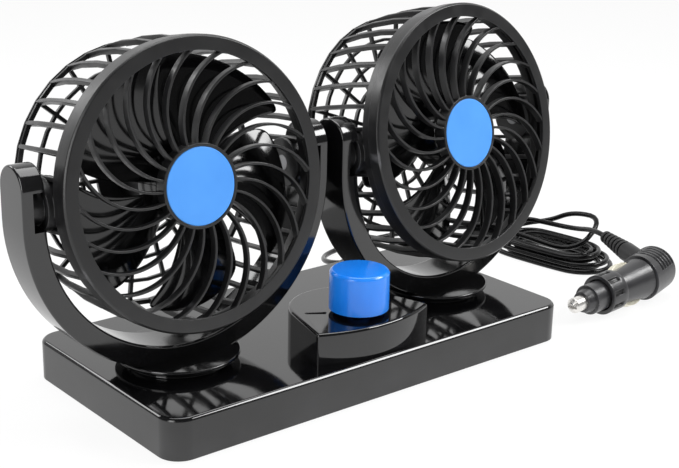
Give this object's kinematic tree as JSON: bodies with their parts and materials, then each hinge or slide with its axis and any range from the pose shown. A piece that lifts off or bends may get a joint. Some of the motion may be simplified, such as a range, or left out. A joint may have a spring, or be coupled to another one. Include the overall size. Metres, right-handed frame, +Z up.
{
  "type": "dual head car fan",
  "caption": "Two caged fans on swivelling, tilting yokes share a flat base with a speed knob, and a corded vehicle socket plug feeds them.",
  "frame": {"origin": "on the surface that the foot pads stand on, under the middle of the base", "axes": "+X along the base to the right as seen from the front, -Y to the front where the fans blow, +Z up"},
  "size_m": [0.4558, 0.2075, 0.1936],
  "materials": {
    "gloss_black": "gloss",
    "dark_plastic": "satin",
    "plug_plastic": "satin",
    "blue_plastic": "gloss",
    "black_rubber": "matte",
    "steel": "satin",
    "bright_metal": "gloss",
    "ceramic": "matte",
    "fuse_glass": "gloss"
  },
  "bodies": {
    "base": {"base_cover": "gloss_black", "base_plate": "dark_plastic", "base_screws": "steel", "foot_pads": "black_rubber", "switch_housing": "gloss_black", "rotary_switch": "dark_plastic", "switch_nut": "steel", "speed_resistor": "ceramic", "cord_gland": "black_rubber", "cord_tail": "black_rubber", "cord_hank": "black_rubber", "cord_lead": "black_rubber", "plug_boot": "black_rubber", "plug_cap": "plug_plastic", "plug_barrel": "plug_plastic", "plug_collar": "plug_plastic", "plug_nose": "plug_plastic"},
    "knob": {"knob": "blue_plastic", "switch_shaft": "steel"},
    "plug_tip": {"plug_tip": "bright_metal", "plug_fuse": "fuse_glass"},
    "lower_contact": {"plug_contact_lower": "bright_metal"},
    "upper_contact": {"plug_contact_upper": "bright_metal"},
    "left_fork": {"left_yoke": "dark_plastic", "left_swivel_washer": "steel", "left_swivel_screws": "steel"},
    "left_head": {"left_front_grille": "dark_plastic", "left_hub_badge": "blue_plastic", "left_rear_cage": "dark_plastic", "left_pivot_pins": "steel", "left_motor": "steel", "left_motor_screws": "steel"},
    "left_fan": {"left_impeller": "dark_plastic", "left_motor_axle": "steel"},
    "right_fork": {"right_yoke": "dark_plastic", "right_swivel_washer": "steel", "right_swivel_screws": "steel"},
    "right_head": {"right_front_grille": "dark_plastic", "right_hub_badge": "blue_plastic", "right_rear_cage": "dark_plastic", "right_pivot_pins": "steel", "right_motor": "steel", "right_motor_screws": "steel"},
    "right_fan": {"right_impeller": "dark_plastic", "right_motor_axle": "steel"}
  },
  "joints": [
    {"name": "knob_turn", "type": "hinge", "parent": "base", "child": "knob", "pos_m": [0, -0.042, 0.05], "axis": [0, 0, -1], "range_deg": [0, 90]},
    {"name": "tip_press", "type": "slide", "parent": "base", "child": "plug_tip", "axis": [0.9979, 0.0314, 0.0558], "range_m": [0, 0.004], "stiffness_N_per_m": 900},
    {"name": "lower_contact_press", "type": "slide", "parent": "base", "child": "lower_contact", "axis": [-0.064, 0.4982, 0.8647], "range_m": [0, 0.0012], "stiffness_N_per_m": 1500},
    {"name": "upper_contact_press", "type": "slide", "parent": "base", "child": "upper_contact", "axis": [0.064, -0.4982, -0.8647], "range_m": [0, 0.0012], "stiffness_N_per_m": 1500},
    {"name": "left_swivel", "type": "hinge", "parent": "base", "child": "left_fork", "pos_m": [-0.09, -0.004, 0.026], "axis": [0, 0, 1], "range_deg": [-175, 175]},
    {"name": "left_tilt", "type": "hinge", "parent": "left_fork", "child": "left_head", "pos_m": [-0.09, -0.004, 0.1175], "axis": [0.9998, -0.0175, 0], "range_deg": [-85, 85]},
    {"name": "left_spin", "type": "hinge", "parent": "left_head", "child": "left_fan", "pos_m": [-0.09, -0.004, 0.1175], "axis": [-0.0173, -0.9924, 0.1219], "continuous": true},
    {"name": "right_swivel", "type": "hinge", "parent": "base", "child": "right_fork", "pos_m": [0.09, -0.004, 0.026], "axis": [0, 0, 1], "range_deg": [-175, 175]},
    {"name": "right_tilt", "type": "hinge", "parent": "right_fork", "child": "right_head", "pos_m": [0.09, -0.004, 0.1175], "axis": [0.9976, 0.0698, 0], "range_deg": [-85, 85]},
    {"name": "right_spin", "type": "hinge", "parent": "right_head", "child": "right_fan", "pos_m": [0.09, -0.004, 0.1175], "axis": [0.0685, -0.9792, 0.1908], "continuous": true}
  ]
}
